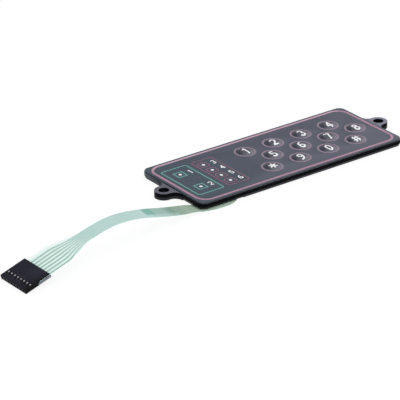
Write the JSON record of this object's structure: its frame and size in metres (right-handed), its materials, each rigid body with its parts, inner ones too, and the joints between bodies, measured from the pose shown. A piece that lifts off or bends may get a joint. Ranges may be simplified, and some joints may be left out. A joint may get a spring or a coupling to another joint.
{
  "type": "membrane keypad",
  "caption": "Low membrane keypad with embossed keys and signal windows on a moulded carrier with two mounting ears, and a flat printed tail ending in a socket connector.",
  "frame": {"origin": "middle of the carrier's back face, which is the lowest point of the part", "axes": "+X along the panel towards the keys' end, +Y towards the top of the legends, +Z out of the keyed face"},
  "size_m": [0.268, 0.0737, 0.0146],
  "materials": {
    "carrier_plastic": "satin moulded plastic",
    "adhesive": "translucent acrylic adhesive",
    "circuit_film": "pale green coated polyester film",
    "spacer_film": "plain polyester film",
    "spring_steel": "bright rolled sheet",
    "overlay_film": "fine matt polyester film",
    "border_ink": "screen print",
    "ring_ink": "screen print",
    "green_ink": "screen print",
    "red_ink": "screen print",
    "white_ink": "screen print",
    "connector_plastic": "glass filled polyester",
    "contact_metal": "tin plated sheet"
  },
  "bodies": {
    "root": {"housing": "carrier_plastic", "rear_adhesive": "adhesive", "circuit_film": "circuit_film", "spacer": "spacer_film", "dome_retainer": "spacer_film", "snap_dome_1": "spring_steel", "snap_dome_2": "spring_steel", "snap_dome_3": "spring_steel", "snap_dome_4": "spring_steel", "snap_dome_5": "spring_steel", "snap_dome_6": "spring_steel", "snap_dome_7": "spring_steel", "snap_dome_8": "spring_steel", "snap_dome_9": "spring_steel", "snap_dome_10": "spring_steel", "snap_dome_11": "spring_steel", "snap_dome_12": "spring_steel", "overlay_adhesive": "adhesive", "graphic_overlay": "overlay_film", "border_print": "border_ink", "key_ring_print": "ring_ink", "green_print": "green_ink", "red_print": "red_ink", "window_print": "white_ink", "tail": "circuit_film", "connector_body": "connector_plastic", "connector_cover": "connector_plastic", "contact_1": "contact_metal", "contact_2": "contact_metal", "contact_3": "contact_metal", "contact_4": "contact_metal", "contact_5": "contact_metal", "contact_6": "contact_metal", "contact_7": "contact_metal", "contact_8": "contact_metal"}
  },
  "joints": []
}
